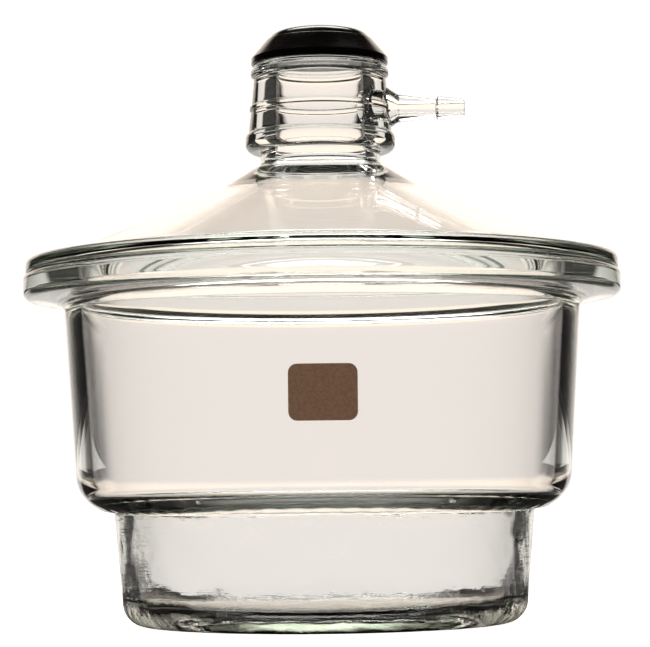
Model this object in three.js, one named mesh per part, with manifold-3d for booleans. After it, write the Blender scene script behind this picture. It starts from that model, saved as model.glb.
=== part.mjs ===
// A laboratory vacuum desiccator in pressed glass: a stepped bowl, a conical lid with a neck, a glass sleeve
// that turns on the neck as a valve, and a rubber cap. Millimetres, +Z up. The origin is the middle of the
// surface that the bowl stands on, and the hose connection points along +X, over the port in the neck.

import * as THREE from "three";
import { mergeVertices } from "three/addons/utils/BufferGeometryUtils.js";
import Module from "manifold-3d";

// ---- Driving dimensions ----

const GREASE_FILM = 0.1; // between two ground faces
const SEGMENTS = 48; // facets round each turned piece
const ARM_SEGMENTS = 16; // facets round the hose connection
const ARC_STEP = 30; // degrees of a rounded corner for each facet

const BOWL = {
  rimHeight: 149.2,
  flangeRadius: 127.9,
  flangeEdge: 10.4, // thickness of the flange at its rim
  flangeRoot: 12, // and where it leaves the wall
  flangeFillet: 5,
  underRound: 3.4,
  edgeRound: 2.2,
  upperRadius: 104.7, // outside of the upper wall, level with the foot of the shoulder
  upperFlare: 0.0667, // radius gained for each millimetre of height
  upperWall: 7,
  mouthRound: 1.6,
  shoulderHeight: 47.9, // where the lower wall meets the shoulder
  shoulderRise: 1.6, // how much the shoulder's underside rises outwards
  shoulderThickness: 7.6,
  shoulderRound: 18,
  ledgeFillet: 4.5,
  ledgeEdgeRound: 3,
  lowerRadius: 85.5, // outside of the lower wall, carried down to the table
  lowerFlare: 0.0914,
  lowerWall: 7,
  neckIn: 1, // fillet where the lower wall meets the shoulder
  floorHeight: 6.5,
  floorFillet: 8,
  footRound: 9.5,
  footRing: 70, // inner radius of the ring that the bowl stands on
  footRecess: 1.5,
  footRamp: 4,
};

const LID = {
  overhang: 1, // the lid's flange is this much smaller in radius than the bowl's
  flangeEdge: 6,
  flangeFall: 0.4, // the flange's top rises this much from its rim to the foot of the cone
  edgeRound: 2,
  groundEdgeRound: 1,
  coneInset: 13.9, // from the rim to the foot of the cone
  coneSlope: 23.74, // degrees
  coneWall: 5.5,
  mouthFillet: 3,
  collarRadius: 41, // where the cone starts to steepen towards the neck
  collarRise: 2.9, // how far the root of the neck lies above the plain cone
  collarRound: 11,
  rootRound: 4.5,
};

const NECK = {
  coneRadius: 25.7, // of the ground cone, level with the sleeve's foot
  coneTaper: 0.05, // radius lost for each millimetre of height
  boreRadius: 19.9, // at the same level
  boreTaper: 0.035,
  flareRound: 6,
  rimRound: 2,
  portRadius: 7,
};

const SLEEVE = {
  standOff: 8.2, // from the plain cone at the neck's root to the sleeve's foot
  length: 38,
  neckDrop: 2.6, // the neck's rim lies this far below the sleeve's
  footWall: 5.9,
  rimWall: 4.1,
  footBead: 7.2, // height of each bead, and how far it stands out
  footBeadOut: 1,
  rimBead: 4.6,
  rimBeadOut: 1.5,
  rimBeadDrop: 1.2, // from the sleeve's rim to the top of the bead
  ridge: 2.6,
  ridgeOut: 0.65,
  rimOut: 0.8,
  beadSlope: 1.2,
  edgeRound: 0.8,
};

const ARM = {
  height: 19, // from the sleeve's foot to the axis of the hose connection
  reach: 32.6, // from the sleeve's wall to the tip
  rootRadius: 10,
  rootLength: 3.8,
  shankRadius: 6,
  waistRadius: 3.9,
  barbRadius: 5.1,
  barbLength: 11.4,
  barbShoulder: 2.4,
  tipRadius: 3.7,
  boreRadius: 2.3,
  funnelRadius: 6,
  funnelLength: 8,
};

const CAP = {
  seatGap: 0.1,
  lipOverhang: 0.8,
  lipThickness: 2.9,
  shoulderRadius: 22.8,
  shoulderRise: 8.1,
  stepIn: 0.6,
  crownRadius: 20,
  crownRise: 2.8,
  crownRound: 6,
  domeRadius: 12.5, // inside which the dome flattens
  domeRise: 2,
  domeRound: 40,
  domeTop: 1,
  lipRound: 0.8,
  spigotDepth: 1,
  spigotGap: 0.3,
};

// ---- Levels and fits that follow from them ----

const lidSeat = BOWL.rimHeight + GREASE_FILM;
const ledgeHeight = BOWL.shoulderHeight + BOWL.shoulderThickness;
const lidRadius = BOWL.flangeRadius - LID.overhang;
const coneFootRadius = lidRadius - LID.coneInset;
const coneFootHeight = lidSeat + LID.flangeEdge + LID.flangeFall;
const coneRise = Math.tan(THREE.MathUtils.degToRad(LID.coneSlope));
const coneDrop = LID.coneWall / Math.cos(THREE.MathUtils.degToRad(LID.coneSlope));

const upperOuter = (z) => BOWL.upperRadius + BOWL.upperFlare * (z - BOWL.shoulderHeight);
const upperInner = (z) => upperOuter(z) - BOWL.upperWall;
const lowerOuter = (z) => BOWL.lowerRadius + BOWL.lowerFlare * z;
const lowerInner = (z) => lowerOuter(z) - BOWL.lowerWall;
const mouthRadius = upperInner(BOWL.rimHeight);
const coneHeight = (r) => coneFootHeight + coneRise * (coneFootRadius - r);

const neckRoot = coneHeight(NECK.coneRadius + NECK.coneTaper * SLEEVE.standOff);
const collarTop = neckRoot + LID.collarRise;
const sleeveFoot = neckRoot + SLEEVE.standOff;
const sleeveRim = sleeveFoot + SLEEVE.length;
const neckRim = sleeveRim - SLEEVE.neckDrop;
const groundCone = (z) => NECK.coneRadius - NECK.coneTaper * (z - sleeveFoot);
const neckBore = (z) => NECK.boreRadius - NECK.boreTaper * (z - sleeveFoot);
const sleeveBore = (z) => groundCone(z) + GREASE_FILM;
const sleeveThinning = (SLEEVE.footWall - SLEEVE.rimWall) / SLEEVE.length;
const sleeveWall = (z) => SLEEVE.footWall - sleeveThinning * (z - sleeveFoot);
const sleeveBody = (z) => sleeveBore(z) + sleeveWall(z);
const armHeight = sleeveFoot + ARM.height;

// ---- Outlines and turned pieces ----

// A corner of an outline: its radius and height, and how far it is rounded.
const corner = (r, z, round = 0) => ({ at: new THREE.Vector2(r, z), round });

// How an outline turns at corner i, and how far the rounding there would reach along both sides.
function bendAt(corners, i, ring) {
  const { at, round } = corners[i];
  const last = corners.length - 1;
  const back = corners[i === 0 ? last : i - 1].at.clone().sub(at);
  const ahead = corners[i === last ? 0 : i + 1].at.clone().sub(at);
  const turn = Math.PI - Math.abs(Math.atan2(back.cross(ahead), back.dot(ahead)));
  const sharp = turn < 0.02 || (!ring && (i === 0 || i === last));
  return { at, back, ahead, turn, reach: sharp ? 0 : round * Math.tan(turn / 2) };
}

// Two neighbours that want more than the side between them share it in proportion.
function sharedReach(bends, i) {
  const { back, ahead, reach } = bends[i];
  const before = bends[i === 0 ? bends.length - 1 : i - 1].reach;
  const after = bends[i === bends.length - 1 ? 0 : i + 1].reach;
  const share = (side, neighbour) => (0.98 * side.length()) / (reach + neighbour);
  return reach * Math.min(1, share(back, before), share(ahead, after));
}

// The points of one rounded corner, or the corner itself where it is sharp.
function roundedCorner({ at, back, ahead, turn }, reach) {
  if (reach === 0) return [at];
  const start = at.clone().addScaledVector(back.normalize(), reach);
  const end = at.clone().addScaledVector(ahead.normalize(), reach);
  const inward = back.clone().add(ahead).normalize();
  const centre = at.clone().addScaledVector(inward, reach / Math.sin(turn / 2));
  const from = start.sub(centre);
  const side = Math.sign(from.cross(end.sub(centre)));
  const steps = Math.max(1, Math.round(THREE.MathUtils.radToDeg(turn) / ARC_STEP));
  return Array.from({ length: steps + 1 }, (_, i) =>
    from.clone().rotateAround(new THREE.Vector2(), (side * turn * i) / steps).add(centre),
  );
}

// An outline that starts and ends on the axis, or a closed ring when it does not touch the axis.
function outline(corners) {
  const ring = corners[0].at.x > 0;
  const bends = corners.map((_, i) => bendAt(corners, i, ring));
  const reaches = bends.map((_, i) => sharedReach(bends, i));
  const points = bends.flatMap((bend, i) => roundedCorner(bend, reaches[i]));
  return ring ? [...points, points[0].clone()] : points;
}

// The solid that an outline sweeps round +Z. The outline runs up the outside and back down the inside.
function turned(corners, segments = SEGMENTS) {
  return new THREE.LatheGeometry(outline(corners), segments).rotateX(Math.PI / 2);
}

// The same, swept round +X at a height.
function turnedAlongX(corners, height) {
  return turned(corners, ARM_SEGMENTS)
    .rotateY(Math.PI / 2)
    .translate(0, 0, height);
}

// ---- Joins and cuts ----

const wasm = await Module();
wasm.setup();

function toManifold(geometry) {
  const bare = new THREE.BufferGeometry()
    .setAttribute("position", geometry.getAttribute("position"))
    .setIndex(geometry.getIndex());
  const merged = mergeVertices(bare, 1e-4);
  return new wasm.Manifold(
    new wasm.Mesh({
      numProp: 3,
      vertProperties: merged.getAttribute("position").array,
      triVerts: new Uint32Array(merged.getIndex().array),
    }),
  );
}

function toGeometry(solid) {
  const { vertProperties, triVerts } = solid.getMesh();
  const geometry = new THREE.BufferGeometry()
    .setAttribute("position", new THREE.BufferAttribute(vertProperties, 3))
    .setIndex(new THREE.BufferAttribute(triVerts, 1));
  geometry.computeVertexNormals();
  return geometry;
}

// ---- Bowl ----

function bowl() {
  const flangeRoot = BOWL.rimHeight - BOWL.flangeRoot;
  const shoulderEdge = BOWL.shoulderHeight + BOWL.shoulderRise;
  return turned([
    corner(0, BOWL.footRecess),
    corner(BOWL.footRing - BOWL.footRamp, BOWL.footRecess),
    corner(BOWL.footRing, 0),
    corner(BOWL.lowerRadius, 0, BOWL.footRound),
    corner(lowerOuter(BOWL.shoulderHeight), BOWL.shoulderHeight, BOWL.neckIn),
    corner(upperOuter(shoulderEdge), shoulderEdge, BOWL.shoulderRound),
    corner(upperOuter(flangeRoot), flangeRoot, BOWL.flangeFillet),
    corner(BOWL.flangeRadius, BOWL.rimHeight - BOWL.flangeEdge, BOWL.underRound),
    corner(BOWL.flangeRadius, BOWL.rimHeight, BOWL.edgeRound),
    corner(mouthRadius, BOWL.rimHeight, BOWL.mouthRound),
    corner(upperInner(ledgeHeight), ledgeHeight, BOWL.ledgeFillet),
    corner(lowerInner(ledgeHeight), ledgeHeight, BOWL.ledgeEdgeRound),
    corner(lowerInner(BOWL.floorHeight), BOWL.floorHeight, BOWL.floorFillet),
    corner(0, BOWL.floorHeight),
  ]);
}

// ---- Lid ----

function lidBody() {
  const flangeTop = lidSeat + LID.flangeEdge;
  const innerFoot = coneHeight(mouthRadius) - coneDrop;
  const flareRadius = neckBore(sleeveFoot);
  const flareHeight = coneHeight(flareRadius) - coneDrop;
  return turned([
    corner(mouthRadius, lidSeat, LID.groundEdgeRound),
    corner(lidRadius, lidSeat, LID.groundEdgeRound),
    corner(lidRadius, flangeTop, LID.edgeRound),
    corner(coneFootRadius, coneFootHeight),
    corner(LID.collarRadius, coneHeight(LID.collarRadius), LID.collarRound),
    corner(groundCone(collarTop), collarTop, LID.rootRound),
    corner(groundCone(neckRim), neckRim, NECK.rimRound),
    corner(neckBore(neckRim), neckRim, NECK.rimRound),
    corner(flareRadius, flareHeight, NECK.flareRound),
    corner(mouthRadius, innerFoot, LID.mouthFillet),
  ]);
}

// The port through the neck's wall on +X, which the sleeve opens or shuts.
function neckPort() {
  return turnedAlongX(
    [
      corner(0, 0),
      corner(NECK.portRadius, 0),
      corner(NECK.portRadius, sleeveBody(armHeight)),
      corner(0, sleeveBody(armHeight)),
    ],
    armHeight,
  );
}

function lid() {
  return toGeometry(toManifold(lidBody()).subtract(toManifold(neckPort())));
}

// ---- Valve sleeve ----

// The outside of one ring that stands out from the sleeve between two heights, with sloping flanks.
function ring(foot, height, out, round) {
  const flank = Math.min(SLEEVE.beadSlope, height / 4);
  const crown = sleeveBody(foot + height / 2) + out;
  return [
    corner(sleeveBody(foot), foot, round),
    corner(crown, foot + flank, round),
    corner(crown, foot + height - flank, round),
    corner(sleeveBody(foot + height), foot + height, round),
  ];
}

function sleeveShell() {
  const footBead = sleeveBody(sleeveFoot + SLEEVE.footBead / 2) + SLEEVE.footBeadOut;
  const footRound = SLEEVE.footBead / 2;
  const footBeadTop = sleeveFoot + SLEEVE.footBead;
  const rimBeadFoot = sleeveRim - SLEEVE.rimBeadDrop - SLEEVE.rimBead;
  const rimRadius = sleeveBody(sleeveRim) + SLEEVE.rimOut;
  return turned([
    corner(sleeveBore(sleeveFoot), sleeveFoot, SLEEVE.edgeRound),
    corner(footBead, sleeveFoot, footRound),
    corner(footBead, footBeadTop, footRound),
    corner(sleeveBody(footBeadTop), footBeadTop + SLEEVE.beadSlope, SLEEVE.beadSlope),
    ...ring(armHeight - SLEEVE.ridge / 2, SLEEVE.ridge, SLEEVE.ridgeOut, SLEEVE.ridge / 4),
    ...ring(rimBeadFoot, SLEEVE.rimBead, SLEEVE.rimBeadOut, SLEEVE.rimBead / 3).slice(0, 3),
    corner(rimRadius, sleeveRim - SLEEVE.rimBeadDrop, SLEEVE.edgeRound),
    corner(rimRadius, sleeveRim, SLEEVE.edgeRound),
    corner(sleeveBore(sleeveRim), sleeveRim, SLEEVE.edgeRound),
  ]);
}

// The hose connection, from inside the sleeve's wall to its tip: a flared root, a shank that narrows to a
// waist, and a barb.
function arm() {
  const wall = sleeveBody(armHeight);
  const tip = wall + ARM.reach;
  const barb = tip - ARM.barbLength;
  const inside = wall - sleeveWall(armHeight) / 2;
  return turnedAlongX(
    [
      corner(0, inside),
      corner(ARM.rootRadius, inside),
      corner(ARM.rootRadius, wall - ARM.rootLength / 2),
      corner(ARM.shankRadius, wall + ARM.rootLength, ARM.rootLength),
      corner(ARM.waistRadius, barb - ARM.barbShoulder, ARM.barbShoulder),
      corner(ARM.waistRadius, barb - ARM.barbShoulder / 3),
      corner(ARM.barbRadius, barb, SLEEVE.edgeRound),
      corner(ARM.tipRadius, tip, SLEEVE.edgeRound),
      corner(0, tip),
    ],
    armHeight,
  );
}

// The way for the air: a funnel in the sleeve's wall that narrows to the bore of the hose connection.
function airWay() {
  const wall = sleeveBody(armHeight);
  const bore = sleeveBore(armHeight);
  const start = bore / 2;
  return turnedAlongX(
    [
      corner(0, start),
      corner(ARM.funnelRadius, start),
      corner(ARM.funnelRadius, bore),
      corner(ARM.boreRadius, bore + ARM.funnelLength, ARM.boreRadius),
      corner(ARM.boreRadius, wall + ARM.reach + 1),
      corner(0, wall + ARM.reach + 1),
    ],
    armHeight,
  );
}

function valveSleeve() {
  return toGeometry(toManifold(sleeveShell()).add(toManifold(arm())).subtract(toManifold(airWay())));
}

// ---- Rubber cap ----

function rubberCap() {
  const seat = sleeveRim + CAP.seatGap;
  const lipRadius = sleeveBody(sleeveRim) + SLEEVE.rimOut + CAP.lipOverhang;
  const spigotRadius = sleeveBore(sleeveRim) - CAP.spigotGap;
  const lipTop = seat + CAP.lipThickness;
  const shoulder = lipTop + CAP.shoulderRise;
  const crown = shoulder + CAP.crownRise;
  return turned([
    corner(0, seat - CAP.spigotDepth),
    corner(spigotRadius - CAP.spigotGap, seat - CAP.spigotDepth),
    corner(spigotRadius - CAP.spigotGap, seat),
    corner(lipRadius, seat, CAP.lipRound),
    corner(lipRadius, lipTop, CAP.lipRound),
    corner(CAP.shoulderRadius, shoulder),
    corner(CAP.shoulderRadius - CAP.stepIn, shoulder),
    corner(CAP.crownRadius, crown, CAP.crownRound),
    corner(CAP.domeRadius, crown + CAP.domeRise, CAP.domeRound),
    corner(0, crown + CAP.domeRise + CAP.domeTop),
  ]);
}

// ---- Materials and assembly ----

const GLASS = { color: 0xdfe6e0, roughness: 0.05, metalness: 0, transparent: true, opacity: 0.4 };
const RUBBER = { color: 0x17130f, roughness: 0.35, metalness: 0 };

function piece(name, geometry, finish) {
  const mesh = new THREE.Mesh(geometry, new THREE.MeshStandardMaterial(finish));
  mesh.name = name;
  return mesh;
}

const group = new THREE.Group();
group.add(piece("base_bowl", bowl(), GLASS));

const cover = new THREE.Group();
cover.add(piece("lid", lid(), GLASS));
group.add(cover);

const valve = new THREE.Group();
valve.add(piece("valve_sleeve", valveSleeve(), GLASS));
valve.add(piece("rubber_cap", rubberCap(), RUBBER));
cover.add(valve);

export default group;
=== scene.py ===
"""A laboratory vacuum desiccator in pressed glass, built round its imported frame.

Each glass piece is one closed surface of revolution with rounded corners, worked out on a grid, with its
ports and its hose connection joined and cut in afterwards. Lengths in the classes are millimetres, as on a
drawing, and meshes are metres. Lengths in the finishes and the studio are metres.
"""

import logging
import math
from collections.abc import Callable, Sequence
from dataclasses import dataclass, field
from enum import Enum
from typing import Any

import bpy
import numpy as np
from mathutils import Matrix, Vector


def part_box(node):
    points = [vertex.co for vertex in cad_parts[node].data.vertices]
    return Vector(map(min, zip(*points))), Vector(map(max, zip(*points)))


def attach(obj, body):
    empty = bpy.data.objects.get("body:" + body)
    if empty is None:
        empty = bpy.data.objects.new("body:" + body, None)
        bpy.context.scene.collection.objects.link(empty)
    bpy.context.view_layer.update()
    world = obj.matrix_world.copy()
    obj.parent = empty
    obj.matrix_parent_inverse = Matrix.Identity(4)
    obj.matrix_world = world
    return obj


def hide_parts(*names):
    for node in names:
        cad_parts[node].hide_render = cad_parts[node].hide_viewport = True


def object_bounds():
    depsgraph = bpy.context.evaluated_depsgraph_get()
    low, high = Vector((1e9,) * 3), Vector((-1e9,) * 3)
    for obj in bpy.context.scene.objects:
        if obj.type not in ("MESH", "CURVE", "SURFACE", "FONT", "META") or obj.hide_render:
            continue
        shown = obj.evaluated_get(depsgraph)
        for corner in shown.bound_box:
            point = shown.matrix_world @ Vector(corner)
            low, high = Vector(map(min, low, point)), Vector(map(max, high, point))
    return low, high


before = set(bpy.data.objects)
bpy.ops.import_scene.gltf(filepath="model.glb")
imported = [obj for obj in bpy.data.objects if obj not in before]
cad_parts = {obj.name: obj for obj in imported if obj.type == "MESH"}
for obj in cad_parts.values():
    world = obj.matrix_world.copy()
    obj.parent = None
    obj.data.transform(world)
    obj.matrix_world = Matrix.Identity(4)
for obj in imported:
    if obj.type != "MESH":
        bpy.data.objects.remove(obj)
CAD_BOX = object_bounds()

log = logging.getLogger("desiccator")

MM = 0.001
GLASS_IOR = 1.474
GREASE_FILM = 0.1
TAU = 2.0 * math.pi

Array = np.ndarray
Ripple = Callable[[Array, Array, Array], Array]


class Slot(str, Enum):
    """The record's material slots."""

    BOWL = "bowl_glass"
    LID = "lid_glass"
    SLEEVE = "sleeve_glass"
    RUBBER = "black_rubber"


# ---- Outlines and grids ----


@dataclass(frozen=True)
class Corner:
    """One corner of an outline: its radius and height and how far it is rounded, in millimetres."""

    r: float
    z: float
    round: float = 0.0


@dataclass(frozen=True)
class Outline:
    """Straight runs joined by round corners, in the plane of radius and height.

    An outline that starts off the axis closes on itself, and any other starts and ends on the axis.
    """

    corners: Sequence[Corner]
    run_step: float = 3.0
    arc_step: float = 12.0

    @property
    def closed(self) -> bool:
        """Whether the outline is a ring that keeps off the axis."""
        return self.corners[0].r > 0.0

    def _turns(self) -> tuple[Array, Array, Array]:
        """The turn at each corner and how far its arc reaches along its two sides.

        An arc of radius R touches both sides at R tan(turn / 2) from the corner. Where two neighbours want
        more than the side between them, they share it in proportion.

        Returns:
            The corners' places, their turns in radians, and the reaches in millimetres.
        """
        places = np.array([(c.r, c.z) for c in self.corners])
        ahead = np.roll(places, -1, axis=0) - places
        long_ahead = np.linalg.norm(ahead, axis=1)
        ahead = ahead / long_ahead[:, None]
        back = -np.roll(ahead, 1, axis=0)
        turn = np.pi - np.arccos(np.clip((back * ahead).sum(axis=1), -1.0, 1.0))
        want = np.array([c.round for c in self.corners]) * np.tan(turn / 2)
        if not self.closed:
            want[[0, -1]] = 0.0
        share = np.minimum(1.0, 0.98 * long_ahead / np.maximum(want + np.roll(want, -1), 1e-9))
        return places, turn, want * np.minimum(share, np.roll(share, 1))

    def _arc(self, before: Array, at: Array, after: Array, turn: float, reach: float) -> Array:
        """The points of one rounded corner. The middle of its arc lies on the corner's bisector.

        Args:
            before: the place of the corner before this one.
            at: the place of the corner itself.
            after: the place of the corner after it.
            turn: how far the outline turns here, in radians.
            reach: how far the arc reaches along both sides.

        Returns:
            The points of the arc, or the corner alone where it is sharp or straight.
        """
        if reach <= 1e-6 or turn < 0.01:
            return at[None, :]
        back, ahead = ((p - at) / np.linalg.norm(p - at) for p in (before, after))
        bisector = (back + ahead) / np.linalg.norm(back + ahead)
        centre = at + bisector * reach / math.sin(turn / 2)
        arm = at + back * reach - centre
        side = math.copysign(1.0, arm[1] * back[0] - arm[0] * back[1])
        steps = max(3, math.ceil(math.degrees(turn) / self.arc_step))
        angle = np.linspace(0.0, side * turn, steps + 1)
        cosine, sine = np.cos(angle), np.sin(angle)
        turned = np.stack((arm[0] * cosine - arm[1] * sine, arm[0] * sine + arm[1] * cosine), axis=1)
        return centre + turned

    def points(self) -> Array:
        """The outline's points, with the straight runs divided evenly.

        Returns:
            An array of radius and height in millimetres.
        """
        places, turns, reaches = self._turns()
        before, after = np.roll(places, 1, axis=0), np.roll(places, -1, axis=0)
        chain = [self._arc(*corner) for corner in zip(before, places, after, turns, reaches)]
        knots = np.concatenate([*chain, chain[0][:1]] if self.closed else chain)
        lengths = np.linalg.norm(np.diff(knots, axis=0), axis=1)
        knots = np.concatenate((knots[:1], knots[1:][lengths > 1e-6]))
        lengths = lengths[lengths > 1e-6]
        parts = np.maximum(1, np.ceil(lengths / self.run_step).astype(int))
        along = np.concatenate([[0.0], np.cumsum(lengths)])
        piece = np.repeat(np.arange(len(parts)), parts)
        step = np.arange(parts.sum()) - np.repeat(np.cumsum(parts) - parts, parts)
        places_on = along[piece] + lengths[piece] * step / parts[piece]
        if not self.closed:
            places_on = np.append(places_on, along[-1])
        return np.stack([np.interp(places_on, along, knots[:, k]) for k in (0, 1)], axis=1)


def outward(points: Array, closed: bool) -> Array:
    """The outline's outward normals: each tangent turned a quarter turn clockwise.

    Args:
        points: the outline's points, running up the outside.
        closed: whether the outline is a ring.

    Returns:
        A unit vector in radius and height for each point.
    """
    if closed:
        along = np.roll(points, -1, axis=0) - np.roll(points, 1, axis=0)
    else:
        along = np.gradient(points, axis=0)
    normal = np.stack((along[:, 1], -along[:, 0]), axis=1)
    return normal / np.linalg.norm(normal, axis=1, keepdims=True)


def turned_mesh(outline: Outline, segments: int, ripple: Ripple | None = None) -> tuple[Array, Array, Array]:
    """A surface of revolution about +Z.

    The vertex for outline point i and angle t is (r cos t, r sin t, z), with point i first moved along its
    normal by the ripple at t. Points on the axis become one vertex each, closed by a fan.

    Args:
        outline: the outline in millimetres, running up the outside.
        segments: how many steps the full turn has.
        ripple: the offset in millimetres as a function of radius, height and angle, or None.

    Returns:
        Vertices in metres, quads, and triangles.
    """
    points = outline.points()
    normals = outward(points, outline.closed)
    angle = np.arange(segments) * TAU / segments
    r, z, t = points[:, 0][:, None], points[:, 1][:, None], angle[None, :]
    out = ripple(r, z, t) if ripple else np.zeros((len(points), segments))
    radius = r + normals[:, 0][:, None] * out
    height = z + normals[:, 1][:, None] * out
    grid = np.stack((radius * np.cos(t), radius * np.sin(t), height), axis=2)
    rows = len(points)
    index = np.arange(rows * segments).reshape(rows, segments)
    beside = np.roll(index, -1, axis=1)
    if outline.closed:
        above, above_beside = np.roll(index, -1, axis=0), np.roll(beside, -1, axis=0)
        quads = np.stack((index, beside, above_beside, above), axis=2).reshape(-1, 4)
        return grid.reshape(-1, 3) * MM, quads, np.zeros((0, 3), int)
    body = slice(1, rows - 1)
    ring, ring_beside = index[body], beside[body]
    quads = np.stack((ring[:-1], ring_beside[:-1], ring_beside[1:], ring[1:]), axis=2).reshape(-1, 4)
    low, high = index[0, 0], index[-1, 0]
    foot = np.stack((np.full(segments, low), beside[1], index[1]), axis=1)
    top = np.stack((np.full(segments, high), index[-2], beside[-2]), axis=1)
    vertices = grid.reshape(-1, 3)
    used = np.concatenate(([low], np.arange(segments, (rows - 1) * segments), [high]))
    renumber = np.full(len(vertices), -1)
    renumber[used] = np.arange(len(used))
    return vertices[used] * MM, renumber[quads], renumber[np.concatenate((foot, top))]


def make_object(name: str, vertices: Array, quads: Array, triangles: Array) -> bpy.types.Object:
    """A smooth mesh object at the origin.

    Args:
        name: the object's name.
        vertices: places in metres.
        quads: rows of four vertex numbers.
        triangles: rows of three vertex numbers.

    Returns:
        The object, linked to the scene.
    """
    mesh = bpy.data.meshes.new(name)
    loops = np.concatenate((quads.ravel(), triangles.ravel())).astype(np.int32)
    sizes = np.concatenate((np.full(len(quads), 4), np.full(len(triangles), 3))).astype(np.int32)
    mesh.vertices.add(len(vertices))
    mesh.vertices.foreach_set("co", vertices.astype(np.float32).ravel())
    mesh.loops.add(len(loops))
    mesh.loops.foreach_set("vertex_index", loops)
    mesh.polygons.add(len(sizes))
    mesh.polygons.foreach_set("loop_start", (np.cumsum(sizes) - sizes).astype(np.int32))
    mesh.polygons.foreach_set("use_smooth", np.ones(len(sizes), bool))
    mesh.update(calc_edges=True)
    mesh.validate()
    made = bpy.data.objects.new(name, mesh)
    bpy.context.scene.collection.objects.link(made)
    return made


def turned_object(
    name: str, outline: Outline, segments: int, ripple: Ripple | None = None
) -> bpy.types.Object:
    """A surface of revolution about +Z as an object."""
    return make_object(name, *turned_mesh(outline, segments, ripple))


def turned_along_x(name: str, outline: Outline, segments: int, height: float) -> bpy.types.Object:
    """A surface of revolution about the line along +X at a height.

    The axis +Z of the turned mesh goes to +X, +X to -Z and +Y stays.

    Args:
        name: the object's name.
        outline: the outline, with its heights measured along +X.
        segments: how many steps the full turn has.
        height: the line's height in millimetres.

    Returns:
        The object.
    """
    vertices, quads, triangles = turned_mesh(outline, segments)
    laid = np.stack((vertices[:, 2], vertices[:, 1], height * MM - vertices[:, 0]), axis=1)
    return make_object(name, laid, quads, triangles)


def joined(target: bpy.types.Object, tools: Sequence[tuple[bpy.types.Object, str]]) -> bpy.types.Object:
    """Joins or cuts solids into a target one after another and applies the result.

    Args:
        target: the object to change.
        tools: each solid with UNION or DIFFERENCE.

    Returns:
        The target, with its new mesh.
    """
    for tool, operation in tools:
        change = target.modifiers.new(operation.lower(), "BOOLEAN")
        change.operation = operation
        change.solver = "EXACT"
        change.object = tool
    seen = target.evaluated_get(bpy.context.evaluated_depsgraph_get())
    made = bpy.data.meshes.new_from_object(seen)
    target.modifiers.clear()
    old = target.data
    target.data = made
    bpy.data.meshes.remove(old)
    for tool, _ in tools:
        gone = tool.data
        bpy.data.objects.remove(tool)
        bpy.data.meshes.remove(gone)
    made.polygons.foreach_set("use_smooth", np.ones(len(made.polygons), bool))
    made.set_sharp_from_angle(angle=math.radians(38.0))
    return target


def smooth_step(low: float, high: float, value: Array) -> Array:
    """Zero below low, one above high, and 3 t^2 - 2 t^3 between them."""
    t = np.clip((value - low) / (high - low), 0.0, 1.0)
    return t * t * (3.0 - 2.0 * t)


@dataclass(frozen=True)
class Waves:
    """A smooth uneven surface: a sum of crossed cosines with seeded phases.

    Each wave is cos(k t + a) cos(m s + b), with k whole so that it closes round the turn.
    """

    seed: int
    count: int
    turns: tuple[int, int]
    length: tuple[float, float]

    def at(self, s: Array, t: Array) -> Array:
        """The waves' sum at a distance and an angle, scaled to unit spread.

        Args:
            s: distance along the outline or height, in millimetres.
            t: angle in radians.

        Returns:
            The height of the surface, of about unit spread.
        """
        draw = np.random.default_rng(self.seed)
        shape = (self.count, 1, 1)
        k = draw.integers(self.turns[0], self.turns[1] + 1, shape)
        m = TAU / draw.uniform(self.length[0], self.length[1], shape)
        a, b = draw.uniform(0.0, TAU, shape), draw.uniform(0.0, TAU, shape)
        total = (np.cos(k * t[None] + a) * np.cos(m * s[None] + b)).sum(axis=0)
        return total * 2.0 / math.sqrt(self.count)


# ---- Shader maths ----


class Signal:
    """A number or vector on a shader socket, with the arithmetic operators."""

    def __init__(self, paint: "Paint", socket: bpy.types.NodeSocket) -> None:
        """Wraps one output socket of a paint's node tree."""
        self.paint = paint
        self.socket = socket

    def _math(self, operation: str, *values: "Signal | float") -> "Signal":
        """A Math node's result for these values."""
        return self.paint.node("ShaderNodeMath", {"operation": operation}, dict(enumerate(values)))

    def __add__(self, other: "Signal | float") -> "Signal":
        """The sum."""
        return self._math("ADD", self, other)

    __radd__ = __add__

    def __sub__(self, other: "Signal | float") -> "Signal":
        """The difference."""
        return self._math("SUBTRACT", self, other)

    def __rsub__(self, other: float) -> "Signal":
        """The difference from a number."""
        return self._math("SUBTRACT", other, self)

    def __mul__(self, other: "Signal | float") -> "Signal":
        """The product."""
        return self._math("MULTIPLY", self, other)

    __rmul__ = __mul__

    def __gt__(self, other: "Signal | float") -> "Signal":
        """One where this is greater."""
        return self._math("GREATER_THAN", self, other)

    def __lt__(self, other: "Signal | float") -> "Signal":
        """One where this is less."""
        return self._math("LESS_THAN", self, other)

    def __abs__(self) -> "Signal":
        """The size without its sign."""
        return self._math("ABSOLUTE", self)

    def hypot(self, other: "Signal") -> "Signal":
        """The root of the sum of the squares."""
        return self._math("SQRT", self * self + other * other)

    def most(self, other: "Signal | float") -> "Signal":
        """The greater of the two."""
        return self._math("MAXIMUM", self, other)

    def angle(self, other: "Signal") -> "Signal":
        """The angle whose tangent is this over the other."""
        return self._math("ARCTAN2", self, other)

    def ramp(self, low: float, high: float, start: float = 0.0, end: float = 1.0) -> "Signal":
        """Start below low, end above high, and a smooth step between."""
        settings = {"interpolation_type": "SMOOTHSTEP"}
        values = {"Value": self, "From Min": low, "From Max": high, "To Min": start, "To Max": end}
        return self.paint.node("ShaderNodeMapRange", settings, values, "Result")


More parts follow.
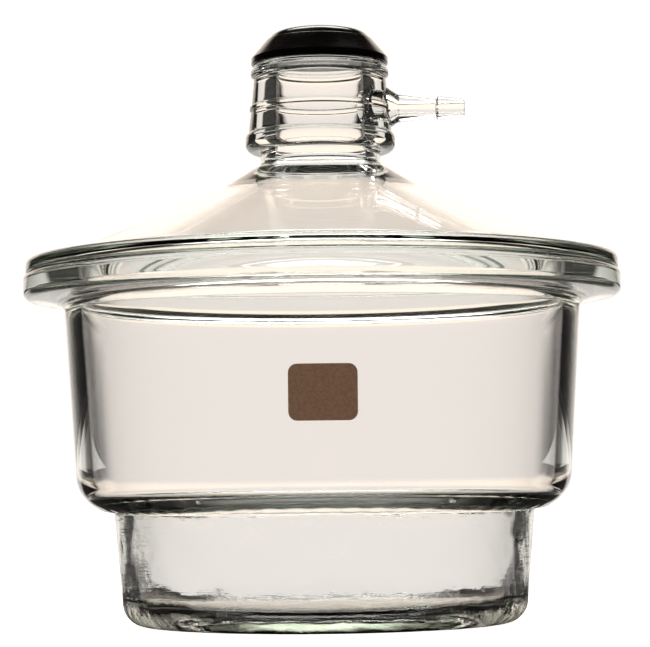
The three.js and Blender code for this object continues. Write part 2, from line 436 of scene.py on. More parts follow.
class Paint:
    """A node tree under construction."""

    def __init__(self, tree: bpy.types.NodeTree) -> None:
        """Empties the tree."""
        self.tree = tree
        tree.nodes.clear()

    def node(
        self,
        kind: str,
        settings: dict[str, Any] | None = None,
        inputs: dict[str | int, Any] | None = None,
        output: str | int = 0,
    ) -> Signal:
        """Adds one node.

        Args:
            kind: the node's type.
            settings: attributes to set first.
            inputs: a value or a Signal for each socket, by name or number.
            output: the socket to return, by name or number.

        Returns:
            The chosen output.
        """
        made = self.tree.nodes.new(kind)
        for key, value in (settings or {}).items():
            setattr(made, key, value)
        for key, value in (inputs or {}).items():
            if isinstance(value, Signal):
                self.tree.links.new(value.socket, made.inputs[key])
            else:
                made.inputs[key].default_value = value
        return Signal(self, made.outputs[output]) if made.outputs else None

    def place(self) -> tuple[Signal, Signal, Signal]:
        """The object's own coordinates, in metres."""
        spot = self.node("ShaderNodeTexCoord", output="Object")
        return tuple(self.node("ShaderNodeSeparateXYZ", {}, {0: spot}, axis) for axis in "XYZ")

    def noise(self, scale: float, detail: float = 2.0, stretch: Sequence[float] = (1, 1, 1)) -> Signal:
        """A noise of the object's coordinates, stretched by the given factors."""
        spot = self.node("ShaderNodeTexCoord", output="Object")
        mapped = self.node("ShaderNodeMapping", {}, {"Vector": spot, "Scale": tuple(stretch)})
        values = {"Vector": mapped, "Scale": scale, "Detail": detail}
        return self.node("ShaderNodeTexNoise", {}, values, "Fac")

    def mix_colour(self, factor: Signal, low: Sequence[float], high: Sequence[float]) -> Signal:
        """A colour between two colours."""
        made = self.tree.nodes.new("ShaderNodeMix")
        made.data_type = "RGBA"
        self.tree.links.new(factor.socket, made.inputs[0])
        made.inputs[6].default_value = (*low, 1.0)
        made.inputs[7].default_value = (*high, 1.0)
        return Signal(self, made.outputs[2])

    def bump(self, height: Signal, distance: float, strength: float = 1.0) -> Signal:
        """A normal tilted by a height in metres."""
        values = {"Height": height, "Distance": distance, "Strength": strength}
        return self.node("ShaderNodeBump", {}, values, "Normal")


def new_paint(name: str) -> tuple[bpy.types.Material, Paint]:
    """A material with an empty tree."""
    material = bpy.data.materials.new(name)
    material.use_nodes = True
    return material, Paint(material.node_tree)


# ---- Finishes ----


@dataclass(frozen=True)
class GlassFinish:
    """Clear borosilicate glass.

    Attributes:
        greased: gives the share of a face that lies under grease, where light passes straight on.
        texture: gives the height of the pressed or blown surface, in metres.
        tint: the colour that light takes on in the glass.
        density: how strongly it does: a channel loses (1 - tint) * density of itself per metre.
    """

    name: str
    greased: Callable[[Paint], Signal] | None = None
    texture: Callable[[Paint], Signal] | None = None
    tint: tuple[float, float, float] = (0.70, 0.78, 0.69)
    density: float = 11.0

    def make(self) -> bpy.types.Material:
        """Builds the material.

        Returns:
            A Principled glass with Volume Absorption, mixed with a Transparent shader under grease.
        """
        material, paint = new_paint(self.name)
        values: dict[str | int, Any] = {
            "Base Color": (1.0, 1.0, 1.0, 1.0),
            "Roughness": 0.0,
            "IOR": GLASS_IOR,
            "Transmission Weight": 1.0,
        }
        if self.texture:
            values["Normal"] = paint.bump(self.texture(paint), 1.0)
        glass = paint.node("ShaderNodeBsdfPrincipled", {}, values)
        if self.greased:
            straight = paint.node("ShaderNodeBsdfTransparent", {}, {"Color": (1.0, 1.0, 1.0, 1.0)})
            glass = paint.node("ShaderNodeMixShader", {}, {0: self.greased(paint), 1: glass, 2: straight})
        absorbed = {"Color": (*self.tint, 1.0), "Density": self.density}
        depth = paint.node("ShaderNodeVolumeAbsorption", {}, absorbed)
        paint.node("ShaderNodeOutputMaterial", {}, {"Surface": glass, "Volume": depth})
        return material


@dataclass(frozen=True)
class RubberFinish:
    """Smooth black moulded rubber, with a faint bloom and fine pores."""

    name: str = "black_rubber"
    base: tuple[float, float, float] = (0.006, 0.005, 0.004)
    bloom: tuple[float, float, float] = (0.016, 0.012, 0.009)

    def make(self) -> bpy.types.Material:
        """Builds the material.

        Returns:
            A Principled rubber whose colour and roughness follow a slow noise and whose bump is a fine one.
        """
        material, paint = new_paint(self.name)
        slow, fine = paint.noise(90.0, 3.0), paint.noise(1800.0, 2.0)
        values = {
            "Base Color": paint.mix_colour(slow.ramp(0.35, 0.7), self.base, self.bloom),
            "Roughness": slow.ramp(0.3, 0.7, 0.12, 0.20),
            "Specular IOR Level": 0.5,
            "Normal": paint.bump(fine, 0.00002, 0.5),
        }
        surface = paint.node("ShaderNodeBsdfPrincipled", {}, values)
        paint.node("ShaderNodeOutputMaterial", {}, {"Surface": surface})
        return material


@dataclass(frozen=True)
class EnamelFinish:
    """Brown fired enamel, slightly uneven, for the marking spot.

    Attributes:
        thin, thick: the colours where the enamel is thin and thick.
        through: the colour of a painted glow in the emission, which stands in for backlight showing through
            the enamel.
        painted_glow_thick_share: the share of that painted glow which shows where the enamel is thick.
        painted_glow_strength: how bright the painted glow is.
    """

    name: str = "brown_enamel"
    thin: tuple[float, float, float] = (0.46, 0.25, 0.155)
    thick: tuple[float, float, float] = (0.38, 0.20, 0.12)
    through: tuple[float, float, float] = (0.185, 0.105, 0.065)
    painted_glow_thick_share: float = 0.85
    painted_glow_strength: float = 0.75

    def make(self) -> bpy.types.Material:
        """Builds the material.

        Returns:
            A Principled enamel whose colour and roughness follow a fine noise, and whose emission is a
            painted glow standing in for backlight through it.
        """
        material, paint = new_paint(self.name)
        grain = paint.noise(900.0, 4.0)
        # Painted glow: the emission colour and strength stand in for backlight showing through the enamel,
        # which is no lamp.
        painted_glow_thick = tuple(self.painted_glow_thick_share * c for c in self.through)
        values = {
            "Base Color": paint.mix_colour(grain.ramp(0.35, 0.65), self.thin, self.thick),
            "Roughness": grain.ramp(0.3, 0.7, 0.4, 0.6),
            "Emission Color": paint.mix_colour(grain.ramp(0.35, 0.65), self.through, painted_glow_thick),
            "Emission Strength": self.painted_glow_strength,
            "Normal": paint.bump(grain, 0.00003, 0.4),
        }
        surface = paint.node("ShaderNodeBsdfPrincipled", {}, values)
        paint.node("ShaderNodeOutputMaterial", {}, {"Surface": surface})
        return material


@dataclass(frozen=True)
class FloorFinish:
    """A plain pale sweep, lit evenly from within as a light table is.

    Seen directly it is pale all over. Seen through glass or in a reflection it is dark, but for a painted
    pool of light, a dim glow under the object, and a bright wedge behind it.

    Attributes:
        glow, glow_in_view: how bright the sweep is, through glass and seen directly.
        painted_pool_level: how bright the painted pool of light is, as a share of the wedge.
        painted_pool_edge: the radii between which the painted pool of light fades out.
        wedge_spread: the angles either side of straight behind between which the wedge fades out, in degrees.
        wedge_start: the radii between which the wedge fades in.
    """

    name: str = "pale_floor"
    colour: tuple[float, float, float] = (0.80, 0.79, 0.77)
    glow: float = 0.90
    glow_in_view: float = 1.05
    painted_pool_level: float = 0.15
    painted_pool_edge: tuple[float, float] = (0.050, 0.070)
    wedge_spread: tuple[float, float] = (29.0, 37.0)
    wedge_start: tuple[float, float] = (0.085, 0.10)

    def make(self) -> bpy.types.Material:
        """Builds the material.

        Returns:
            A matt Principled surface that glows a little more where it is seen directly than through glass.
        """
        material, paint = new_paint(self.name)
        mottle = paint.noise(2.0, 2.0)
        x, y, _ = paint.place()
        away = x.hypot(y)
        # Painted pool of light: a dim glow on the floor under the object, seen only through the glass, stands
        # in for light reaching the floor there.
        pool = away.ramp(*self.painted_pool_edge, self.painted_pool_level, 0.0)
        narrow, wide = map(math.radians, self.wedge_spread)
        wedge = abs(x.angle(y)).ramp(narrow, wide, 1.0, 0.0) * away.ramp(*self.wedge_start)
        unseen = {
            "Base Color": (0.02, 0.02, 0.02, 1.0),
            "Emission Strength": pool.most(wedge) * self.glow,
        }
        seen = {
            "Base Color": paint.mix_colour(mottle, self.colour, tuple(0.99 * c for c in self.colour)),
            "Emission Strength": self.glow_in_view,
        }
        sheets = []
        for own in (unseen, seen):
            values = {"Roughness": 0.9, "Emission Color": (1.0, 0.95, 0.90, 1.0), **own}
            sheets.append(paint.node("ShaderNodeBsdfPrincipled", {}, values))
        direct = paint.node("ShaderNodeLightPath", output="Is Camera Ray")
        both = paint.node("ShaderNodeMixShader", {}, {0: direct, 1: sheets[0], 2: sheets[1]})
        paint.node("ShaderNodeOutputMaterial", {}, {"Surface": both})
        return material


# ---- Pieces ----


def node_box(node: str) -> tuple[Array, Array]:
    """A CAD node's lowest and highest corners, in millimetres."""
    low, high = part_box(node)
    return np.array(low) / MM, np.array(high) / MM


def settle(
    piece: bpy.types.Object, body: str, node: str | None, finish: bpy.types.Material
) -> None:
    """Dresses a piece, hangs it on the body it rides on, and hides the CAD node it stands for."""
    piece.data.materials.clear()
    piece.data.materials.append(finish)
    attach(piece, body)
    if node:
        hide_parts(node)
    mesh = piece.data
    log.info("%s: %d vertices, %d faces, on %s", piece.name, len(mesh.vertices), len(mesh.polygons), body)


@dataclass
class Bowl:
    """The stepped bowl: a lower chamber, a ledge, an upper chamber and a ground flange."""

    flange_edge: float = 10.4
    flange_root: float = 12.0
    flange_fillet: float = 5.0
    under_round: float = 3.4
    edge_round: float = 2.2
    upper_radius: float = 104.7
    upper_flare: float = 0.0667
    upper_wall: float = 7.0
    mouth_round: float = 1.6
    shoulder_height: float = 47.9
    shoulder_rise: float = 1.6
    shoulder_thickness: float = 7.6
    shoulder_round: float = 18.0
    ledge_fillet: float = 4.5
    ledge_edge_round: float = 3.0
    lower_radius: float = 85.5
    lower_flare: float = 0.0914
    lower_wall: float = 7.0
    neck_in: float = 1.0
    floor_height: float = 6.5
    floor_fillet: float = 8.0
    foot_round: float = 9.5
    foot_ring: float = 70.0
    foot_recess: float = 1.5
    foot_ramp: float = 4.0
    segments: int = 336
    ribs: int = 56
    rib_height: float = 0.25
    swell_height: float = 0.07
    short_swell_height: float = 0.015
    outer_swell_height: float = 0.01
    spot_width: float = 27.0
    spot_height: float = 22.0
    spot_round: float = 3.5
    spot_middle: float = 94.8
    rim_height: float = field(init=False)
    flange_radius: float = field(init=False)

    def __post_init__(self) -> None:
        """Takes the rim's height and the flange's radius from the frame."""
        _, high = node_box("base_bowl")
        self.flange_radius, self.rim_height = float(high[0]), float(high[2])

    def upper_outer(self, z: float) -> float:
        """The outside radius of the upper wall: it grows evenly with height."""
        return self.upper_radius + self.upper_flare * (z - self.shoulder_height)

    def upper_inner(self, z: float) -> float:
        """The inside radius of the upper wall."""
        return self.upper_outer(z) - self.upper_wall

    def lower_outer(self, z: float) -> float:
        """The outside radius of the lower wall: it grows evenly with height."""
        return self.lower_radius + self.lower_flare * z

    def lower_inner(self, z: float) -> float:
        """The inside radius of the lower wall."""
        return self.lower_outer(z) - self.lower_wall

    def outline(self) -> Outline:
        """The bowl's outline, from the middle of its underside up the outside and down the inside."""
        ledge = self.shoulder_height + self.shoulder_thickness
        root = self.rim_height - self.flange_root
        edge = self.shoulder_height + self.shoulder_rise
        return Outline(
            [
                Corner(0.0, self.foot_recess),
                Corner(self.foot_ring - self.foot_ramp, self.foot_recess, 3.0),
                Corner(self.foot_ring, 0.0, 3.0),
                Corner(self.lower_radius, 0.0, self.foot_round),
                Corner(self.lower_outer(self.shoulder_height), self.shoulder_height, self.neck_in),
                Corner(self.upper_outer(edge), edge, self.shoulder_round),
                Corner(self.upper_outer(root), root, self.flange_fillet),
                Corner(self.flange_radius, self.rim_height - self.flange_edge, self.under_round),
                Corner(self.flange_radius, self.rim_height, self.edge_round),
                Corner(self.upper_inner(self.rim_height), self.rim_height, self.mouth_round),
                Corner(self.upper_inner(ledge), ledge, self.ledge_fillet),
                Corner(self.lower_inner(ledge), ledge, self.ledge_edge_round),
                Corner(self.lower_inner(self.floor_height), self.floor_height, self.floor_fillet),
                Corner(0.0, self.floor_height),
            ],
            run_step=3.6,
            arc_step=6.0,
        )

    def ripple(self, r: Array, z: Array, t: Array) -> Array:
        """How uneven the pressed glass is.

        The lower chamber's inside is a slow swell with a shorter one on it, the outside a fainter one, and
        the shoulder's underside carries a ring of low ribs: a raised cosine in angle, windowed in radius.

        Args:
            r: radius in millimetres.
            z: height in millimetres.
            t: angle in radians.

        Returns:
            The offset along the surface's normal, in millimetres.
        """
        ledge = self.shoulder_height + self.shoulder_thickness
        inside = r < self.lower_outer(0.0) + self.lower_flare * z - 0.5 * self.lower_wall
        inside = inside & (z > 0.5 * self.floor_height)
        low = 1.0 - smooth_step(ledge - 12.0, ledge - 2.0, z)
        keep = smooth_step(10.0, 40.0, r)
        slow = Waves(11, 26, (3, 22), (18.0, 60.0)).at(z + 0.8 * r, t)
        quick = Waves(12, 40, (30, 90), (5.0, 16.0)).at(z + 0.8 * r, t)
        chamber = self.swell_height * slow + self.short_swell_height * quick
        swell = np.where(inside, chamber, self.outer_swell_height * slow) * low * keep
        under = np.abs(z - self.shoulder_height) < 2.0
        window = smooth_step(89.5, 91.0, r) * (1.0 - smooth_step(95.0, 98.0, r))
        rib = self.rib_height * np.clip(np.cos(self.ribs * t) * 1.6, 0.0, 1.0) * window
        return swell + np.where(under, rib, 0.0)

    def marking_spot(self) -> bpy.types.Object:
        """A plain enamelled spot to write on, laid on the front of the upper wall.

        A grid in width and height is pulled to a rounded rectangle: each row is as wide as the rectangle is
        at its height, and its points lie on the wall's cone, a little proud of the glass.

        Returns:
            The spot's object.
        """
        rows, columns = 41, 49
        half_h, half_w, bend = self.spot_height / 2, self.spot_width / 2, self.spot_round
        v = np.sin(np.linspace(-math.pi / 2, math.pi / 2, rows)) * half_h
        inset = np.maximum(np.abs(v) - (half_h - bend), 0.0)
        wide = half_w - bend + np.sqrt(np.maximum(bend**2 - inset**2, 0.0))
        u = np.linspace(-1.0, 1.0, columns)[None, :] * wide[:, None]
        z = np.repeat((self.spot_middle + v)[:, None], columns, axis=1)
        sheets = []
        for proud in (0.02, 0.10):
            radius = self.upper_outer(0.0) + self.upper_flare * z + proud
            angle = u / radius
            sheets.append(np.stack((radius * np.sin(angle), -radius * np.cos(angle), z), axis=2))
        index = np.arange(rows * columns).reshape(rows, columns)
        corners = (index[:-1, :-1], index[1:, :-1], index[1:, 1:], index[:-1, 1:])
        back = np.stack(corners, axis=2).reshape(-1, 4)
        face = back[:, ::-1] + rows * columns
        rim = np.concatenate((index[0, :-1], index[:-1, -1], index[-1, :0:-1], index[:0:-1, 0]))
        following = np.roll(rim, -1)
        edge = np.stack((rim, following, following + rows * columns, rim + rows * columns), axis=1)
        vertices = np.concatenate([s.reshape(-1, 3) for s in sheets]) * MM
        quads = np.concatenate((back, face, edge))
        return make_object("marking_spot", vertices, quads, np.zeros((0, 3), int))

    def greased(self, paint: Paint) -> Signal:
        """Nearly one on the flange's ground face."""
        _, _, z = paint.place()
        return (z > (self.rim_height - 0.05) * MM) * 0.9

    def texture(self, paint: Paint) -> Signal:
        """Fine level ripples on the lower chamber, where the glass chilled against the mould."""
        _, _, z = paint.place()
        ledge = (self.shoulder_height + self.shoulder_thickness) * MM
        chill = paint.noise(60.0, 3.0, (0.6, 0.6, 9.0)) * 0.00005
        grain = paint.noise(150.0, 4.0) * 0.00016 * z.ramp(0.008, 0.024, 1.0, 0.3)
        return (chill + grain) * z.ramp(ledge - 0.006, ledge, 1.0, 0.0)

    def build(self) -> None:
        """Builds and dresses the bowl and its marking spot."""
        glass = GlassFinish("bowl_glass", self.greased, self.texture)
        bowl = turned_object("bowl_glass_body", self.outline(), self.segments, self.ripple)
        settle(bowl, "bowl", "base_bowl", glass.make())
        settle(self.marking_spot(), "bowl", None, EnamelFinish().make())


@dataclass
class Lid:
    """The conical lid with its ground flange and its neck."""

    flange_edge: float = 6.0
    flange_fall: float = 0.4
    edge_round: float = 2.0
    ground_edge_round: float = 1.0
    cone_inset: float = 13.9
    cone_slope: float = 23.74
    cone_wall: float = 5.5
    mouth_fillet: float = 3.0
    collar_radius: float = 41.0
    collar_rise: float = 2.9
    collar_round: float = 11.0
    root_round: float = 4.5
    cone_radius: float = 25.7
    cone_taper: float = 0.05
    bore_radius: float = 19.9
    bore_taper: float = 0.035
    flare_round: float = 6.0
    rim_round: float = 2.0
    port_radius: float = 7.0
    port_above_foot: float = 19.0
    stand_off: float = 8.2
    segments: int = 288
    seat: float = field(init=False)
    radius: float = field(init=False)
    rim: float = field(init=False)

    def __post_init__(self) -> None:
        """Takes the seat, the flange's radius and the neck's rim from the frame."""
        low, high = node_box("lid")
        self.seat, self.rim, self.radius = float(low[2]), float(high[2]), float(high[0])

    @property
    def rise(self) -> float:
        """The cone's rise for each millimetre towards the axis."""
        return math.tan(math.radians(self.cone_slope))

    def cone_height(self, r: float) -> float:
        """The height of the cone's outside at a radius."""
        foot = self.seat + self.flange_edge + self.flange_fall
        return foot + self.rise * (self.radius - self.cone_inset - r)

    @property
    def root(self) -> float:
        """The height at which the plain cone would meet the neck."""
        return self.cone_height(self.cone_radius + self.cone_taper * self.stand_off)

    @property
    def joint_foot(self) -> float:
        """The height of the sleeve's foot on the neck."""
        return self.root + self.stand_off

    def ground_cone(self, z: float) -> float:
        """The radius of the ground cone at a height."""
        return self.cone_radius - self.cone_taper * (z - self.joint_foot)

    def bore(self, z: float) -> float:
        """The radius of the neck's bore at a height."""
        return self.bore_radius - self.bore_taper * (z - self.joint_foot)

    def outline(self, mouth: float) -> Outline:
        """The lid's outline.

        Args:
            mouth: the radius of the bowl's mouth, which the lid's mouth matches.

        Returns:
            A closed ring, from the mouth out along the ground face, up the outside and back down the inside.
        """
        drop = self.cone_wall / math.cos(math.radians(self.cone_slope))
        flare = self.bore(self.joint_foot)
        collar = self.root + self.collar_rise
        return Outline(
            [
                Corner(mouth, self.seat, self.ground_edge_round),
                Corner(self.radius, self.seat, self.ground_edge_round),
                Corner(self.radius, self.seat + self.flange_edge, self.edge_round),
                Corner(self.radius - self.cone_inset, self.cone_height(self.radius - self.cone_inset), 12.0),
                Corner(self.collar_radius, self.cone_height(self.collar_radius), self.collar_round),
                Corner(self.ground_cone(collar), collar, self.root_round),
                Corner(self.ground_cone(self.rim), self.rim, self.rim_round),
                Corner(self.bore(self.rim), self.rim, self.rim_round),
                Corner(flare, self.cone_height(flare) - drop, self.flare_round),
                Corner(mouth, self.cone_height(mouth) - drop, self.mouth_fillet),
            ],
            run_step=2.6,
            arc_step=8.0,
        )

    def greased(self, paint: Paint) -> Signal:
        """One on the neck's ground cone, under the sleeve, and nearly one on the flange's ground face."""
        x, y, z = paint.place()
        foot = self.joint_foot
        off = abs(x.hypot(y) - (self.cone_radius + self.cone_taper * foot) * MM + self.cone_taper * z)
        neck = (off < 0.05 * MM) * (z > (foot + 0.5) * MM) * (z < (self.rim - self.rim_round) * MM)
        return neck.most((z < (self.seat + 0.05) * MM) * 0.9)

    def texture(self, paint: Paint) -> Signal:
        """A faint swell in the blown cone."""
        return paint.noise(22.0, 2.0, (1.0, 1.0, 1.6)) * 0.00006

    def build(self, mouth: float) -> None:
        """Builds and dresses the lid, with the port cut through its neck.

        Args:
            mouth: the radius of the bowl's mouth.
        """
        lid = turned_object("lid_glass_body", self.outline(mouth), self.segments)
        reach = self.cone_radius + 3.0
        width = self.port_radius
        port = Outline([Corner(0.0, 0.0), Corner(width, 0.0), Corner(width, reach), Corner(0.0, reach)])
        cutter = turned_along_x("port", port, 64, self.joint_foot + self.port_above_foot)
        joined(lid, [(cutter, "DIFFERENCE")])
        glass = GlassFinish("lid_glass", self.greased, self.texture)
        settle(lid, "cover", "lid", glass.make())


@dataclass
class ValveSleeve:
    """The glass sleeve that turns on the neck, with its beads, its grip ridge and its hose connection."""

    foot_wall: float = 5.9
    rim_wall: float = 4.1
    foot_bead: float = 7.2
    foot_bead_out: float = 1.0
    rim_bead: float = 4.6
    rim_bead_out: float = 1.5
    rim_bead_drop: float = 1.2
    ridge: float = 2.6
    ridge_out: float = 0.65
    rim_out: float = 0.8
    bead_slope: float = 1.2
    edge_round: float = 0.8
    arm_above_foot: float = 19.0
    root_radius: float = 10.0
    root_length: float = 3.8
    shank_radius: float = 6.0
    waist_radius: float = 3.9
    barb_radius: float = 5.1
    barb_length: float = 11.4
    barb_shoulder: float = 2.4
    glass_density: float = 6.0
    tip_radius: float = 3.7
    bore_radius: float = 2.3
    funnel_radius: float = 6.0
    funnel_length: float = 8.0
    segments: int = 256
    foot: float = field(init=False)
    rim: float = field(init=False)
    tip: float = field(init=False)

    def __post_init__(self) -> None:
        """Takes the sleeve's foot and rim and the hose connection's tip from the frame."""
        low, high = node_box("valve_sleeve")
        self.foot, self.rim, self.tip = float(low[2]), float(high[2]), float(high[0])

    @property
    def arm_height(self) -> float:
        """The height of the hose connection's axis."""
        return self.foot + self.arm_above_foot

    def bore(self, lid: Lid, z: float) -> float:
        """The radius of the sleeve's ground bore: the neck's cone and the film of grease."""
        return lid.ground_cone(z) + GREASE_FILM

    def body(self, lid: Lid, z: float) -> float:
        """The sleeve's outside radius between its beads, where the wall thins evenly with height."""
        share = (z - self.foot) / (self.rim - self.foot)
        return self.bore(lid, z) + self.foot_wall + (self.rim_wall - self.foot_wall) * share

    def ring(self, lid: Lid, foot: float, height: float, out: float, bend: float) -> list[Corner]:
        """The corners of a ring that stands out from the sleeve, with sloping flanks."""
        flank = min(self.bead_slope, height / 4)
        crown = self.body(lid, foot + height / 2) + out
        return [
            Corner(self.body(lid, foot), foot, bend),
            Corner(crown, foot + flank, bend),
            Corner(crown, foot + height - flank, bend),
            Corner(self.body(lid, foot + height), foot + height, bend),
        ]

    def shell(self, lid: Lid) -> Outline:
        """The sleeve's outline, a closed ring from its foot up the outside and back down the bore."""
        bead = self.body(lid, self.foot + self.foot_bead / 2) + self.foot_bead_out
        bead_top = self.foot + self.foot_bead
        rim_bead_foot = self.rim - self.rim_bead_drop - self.rim_bead
        lip = self.body(lid, self.rim) + self.rim_out
        ridge_foot = self.arm_height - self.ridge / 2
        return Outline(
            [
                Corner(self.bore(lid, self.foot), self.foot, self.edge_round),
                Corner(bead, self.foot, self.foot_bead / 2),
                Corner(bead, bead_top, self.foot_bead / 2),
                Corner(self.body(lid, bead_top), bead_top + self.bead_slope, self.bead_slope),
                *self.ring(lid, ridge_foot, self.ridge, self.ridge_out, self.ridge / 4),
                *self.ring(lid, rim_bead_foot, self.rim_bead, self.rim_bead_out, self.rim_bead / 3)[:3],
                Corner(lip, self.rim - self.rim_bead_drop, self.edge_round),
                Corner(lip, self.rim, self.edge_round),
                Corner(self.bore(lid, self.rim), self.rim, self.edge_round),
            ],
            run_step=1.5,
            arc_step=7.0,
        )

    def arm(self, lid: Lid) -> Outline:
        """The hose connection's outline along +X: a flared root, a shank, a waist and a barb."""
        wall = self.body(lid, self.arm_height)
        inside = (wall + self.bore(lid, self.arm_height)) / 2
        barb = self.tip - self.barb_length
        return Outline(
            [
                Corner(0.0, inside),
                Corner(self.root_radius, inside),
                Corner(self.root_radius, wall - self.root_length / 2),
                Corner(self.shank_radius, wall + self.root_length, self.root_length),
                Corner(self.waist_radius, barb - self.barb_shoulder, self.barb_shoulder),
                Corner(self.waist_radius, barb - self.barb_shoulder / 3, 0.3),
                Corner(self.barb_radius, barb, self.edge_round),
                Corner(self.tip_radius, self.tip, self.edge_round),
                Corner(0.0, self.tip),
            ],
            run_step=1.0,
            arc_step=8.0,
        )

    def air_way(self, lid: Lid) -> Outline:
        """The outline of the air's way along +X: a funnel in the wall that narrows to the bore."""
        bore = self.bore(lid, self.arm_height)
        return Outline(
            [
                Corner(0.0, bore / 2),
                Corner(self.funnel_radius, bore / 2),
                Corner(self.funnel_radius, bore, 1.0),
                Corner(self.bore_radius, bore + self.funnel_length, 4.0),
                Corner(self.bore_radius, self.tip + 1.0),
                Corner(0.0, self.tip + 1.0),
            ],
            run_step=1.0,
            arc_step=8.0,
        )

    def build(self, lid: Lid) -> None:
        """Builds and dresses the sleeve with its hose connection.

        Args:
            lid: the lid, whose neck the sleeve fits.
        """

        def greased(paint: Paint) -> Signal:
            """One on the ground bore."""
            x, y, z = paint.place()
            film = (lid.cone_radius + lid.cone_taper * lid.joint_foot + GREASE_FILM) * MM
            off = abs(x.hypot(y) + lid.cone_taper * z - film)
            return (off < 0.05 * MM) * (z < (lid.rim - lid.rim_round) * MM)

        sleeve = turned_object("sleeve_glass_body", self.shell(lid), self.segments)
        arm = turned_along_x("arm", self.arm(lid), 64, self.arm_height)
        air = turned_along_x("air", self.air_way(lid), 48, self.arm_height)
        joined(sleeve, [(arm, "UNION"), (air, "DIFFERENCE")])
        glass = GlassFinish("sleeve_glass", greased, density=self.glass_density)
        settle(sleeve, "valve", "valve_sleeve", glass.make())


@dataclass
class RubberCap:
    """The black cap that closes the sleeve's mouth."""

    lip_thickness: float = 2.9
    shoulder_radius: float = 22.8
    shoulder_rise: float = 8.1
    step_in: float = 0.6
    crown_radius: float = 20.0
    crown_rise: float = 2.8
    crown_round: float = 6.0
    dome_radius: float = 12.5
    dome_rise: float = 2.0
    dome_round: float = 40.0
    lip_round: float = 0.8
    spigot_depth: float = 1.0
    spigot_gap: float = 0.6
    segments: int = 192

    def outline(self, mouth: float) -> Outline:
        """The cap's outline.

        Args:
            mouth: the radius of the sleeve's bore at its rim, which the spigot fits.

        Returns:
            The outline from the middle of the spigot's underside to the middle of the crown.
        """
        low, high = node_box("rubber_cap")
        foot, lip, top = float(low[2]), float(high[0]), float(high[2])
        seat = foot + self.spigot_depth
        spigot = mouth - self.spigot_gap
        lip_top = seat + self.lip_thickness
        shoulder = lip_top + self.shoulder_rise
        crown = shoulder + self.crown_rise
        return Outline(
            [
                Corner(0.0, foot),
                Corner(spigot, foot, 0.3),
                Corner(spigot, seat),
                Corner(lip, seat, self.lip_round),
                Corner(lip, lip_top, self.lip_round),
                Corner(self.shoulder_radius, shoulder, 0.4),
                Corner(self.shoulder_radius - self.step_in, shoulder, 0.3),
                Corner(self.crown_radius, crown, self.crown_round),
                Corner(self.dome_radius, crown + self.dome_rise, self.dome_round),
                Corner(0.0, top),
            ],
            run_step=1.5,
            arc_step=8.0,
        )

    def build(self, mouth: float) -> None:
        """Builds and dresses the cap."""
        cap = turned_object("rubber_cap_body", self.outline(mouth), self.segments)
        cap.data.set_sharp_from_angle(angle=math.radians(50.0))
        settle(cap, "cap", "rubber_cap", RubberFinish().make())


# ---- Stage, light and camera ----


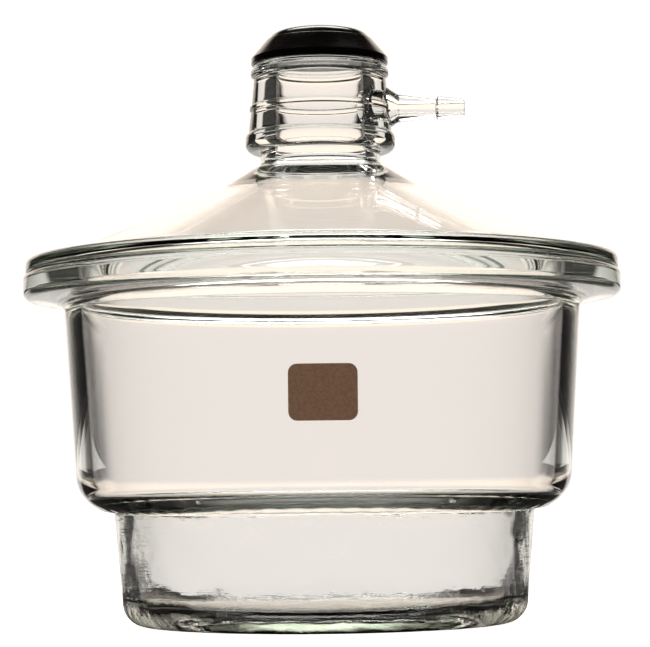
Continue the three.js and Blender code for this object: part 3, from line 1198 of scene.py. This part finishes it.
@dataclass
class Studio:
    """A pale floor without an edge in view, a soft bright field behind the glass and dark sides.

    Attributes:
        field_low: the field's half width at the horizon, in degrees of azimuth.
        field_high: its half width higher up.
        field_edge: the degrees over which it fades to dark.
        field_colour: its colour at the horizon.
        upper_colour: its colour higher up.
        dark: how bright the rest of the surround is.
        overhead: how bright the patch above is.
        distance, height, aside: where the camera stands, from the object's axis and foot.
        pitch, roll: how far it is tipped up and turned about its own axis, in degrees.
        lens: its focal length, in millimetres.
    """

    floor_radius: float = 12.0
    field_low: float = 12.5
    field_high: float = 30.0
    field_edge: float = 9.0
    field_colour: tuple[float, float, float] = (1.0, 0.915, 0.865)
    upper_colour: tuple[float, float, float] = (1.33, 1.15, 1.0)
    dark: float = 0.015
    overhead: float = 9.0
    distance: float = 1.040
    height: float = 0.0609
    aside: float = 0.0011
    pitch: float = 3.7
    roll: float = 0.65
    lens: float = 134.0

    def floor(self) -> None:
        """Lays the floor: a wide disc at the object's foot, as a fan of rings."""
        rings, spokes = 24, 96
        outline = np.linspace(0.0, 1.0, rings + 1)[1:] ** 2 * self.floor_radius
        t = np.arange(spokes) * TAU / spokes
        x, y = outline[:, None] * np.cos(t), outline[:, None] * np.sin(t)
        vertices = np.concatenate(([[0.0, 0.0, 0.0]], np.stack((x, y, 0.0 * x), axis=2).reshape(-1, 3)))
        index = 1 + np.arange(rings * spokes).reshape(rings, spokes)
        beside = np.roll(index, -1, axis=1)
        quads = np.stack((index[:-1], index[1:], beside[1:], beside[:-1]), axis=2).reshape(-1, 4)
        fan = np.stack((np.zeros(spokes, int), index[0], beside[0]), axis=1)
        floor = make_object("floor", vertices, quads, fan)
        floor.data.materials.append(FloorFinish().make())
        floor.location.z = CAD_BOX[0][2] - 0.0003

    def light(self) -> None:
        """Builds the world.

        What the glass sees is a function of direction alone: a cream field behind it, which widens and warms
        with height and fades to dark at its sides and above, and a bright patch high up behind. What shows
        round the object is plain white.
        """
        world = bpy.data.worlds.new("studio")
        bpy.context.scene.world = world
        world.use_nodes = True
        paint = Paint(world.node_tree)
        ray = paint.node("ShaderNodeTexCoord", output="Generated")
        x, y, z = (paint.node("ShaderNodeSeparateXYZ", {}, {0: ray}, axis) for axis in "XYZ")
        width = z.ramp(0.03, 0.16, math.radians(self.field_low), math.radians(self.field_high))
        behind = (abs(x.angle(y)) - width).ramp(0.0, math.radians(self.field_edge), 1.0, 0.0)
        level = behind * z.ramp(0.45, 0.6, 1.0, 0.0)
        top = z.ramp(0.72, 0.78) * z.ramp(0.90, 0.95, 1.0, 0.0) * behind
        glow = paint.mix_colour(z.ramp(0.05, 0.15), self.field_colour, self.upper_colour)
        scaled = {"operation": "SCALE"}
        cream = paint.node("ShaderNodeVectorMath", scaled, {0: glow, "Scale": level + self.dark})
        patch = {0: (1.0, 0.98, 0.95), "Scale": top * self.overhead}
        above = paint.node("ShaderNodeVectorMath", scaled, patch)
        seen = paint.node("ShaderNodeVectorMath", {"operation": "ADD"}, {0: cream, 1: above})
        direct = paint.node("ShaderNodeLightPath", output="Is Camera Ray")
        shown = paint.node("ShaderNodeBackground", {}, {"Color": (1.02, 1.02, 1.02, 1.0), "Strength": 1.0})
        lit = paint.node("ShaderNodeBackground", {}, {"Color": seen, "Strength": 1.0})
        both = paint.node("ShaderNodeMixShader", {}, {0: direct, 1: lit, 2: shown})
        paint.node("ShaderNodeOutputWorld", {}, {"Surface": both})

    def camera(self) -> None:
        """Places the camera: level with the bowl's ledge, tipped up and rolled a little."""
        data = bpy.data.cameras.new("camera")
        data.lens = self.lens
        data.sensor_width = 36.0
        data.clip_end = 100.0
        camera = bpy.data.objects.new("camera", data)
        bpy.context.scene.collection.objects.link(camera)
        tilt = Matrix.Rotation(math.radians(90.0 + self.pitch), 4, "X")
        roll = Matrix.Rotation(math.radians(-self.roll), 4, "Z")
        stand = Matrix.Translation(Vector((self.aside, -self.distance, self.height)))
        camera.matrix_world = stand @ tilt @ roll
        bpy.context.scene.camera = camera

    def build(self) -> None:
        """Sets up the floor, the light, the camera and how light travels in the glass."""
        self.floor()
        self.light()
        self.camera()
        scene = bpy.context.scene
        scene.view_settings.view_transform = "Standard"
        scene.cycles.max_bounces = 24
        scene.cycles.transmission_bounces = 24
        scene.cycles.glossy_bounces = 12
        scene.cycles.transparent_max_bounces = 32
        scene.cycles.sample_clamp_indirect = 8.0


def main() -> None:
    """Builds the stage and every piece in order."""
    logging.basicConfig(level=logging.INFO, format="%(name)s: %(message)s")
    Studio().build()
    bowl, lid, sleeve = Bowl(), Lid(), ValveSleeve()
    bowl.build()
    lid.build(bowl.upper_inner(bowl.rim_height))
    sleeve.build(lid)
    RubberCap().build(sleeve.bore(lid, sleeve.rim))


if __name__ == "__main__":
    main()
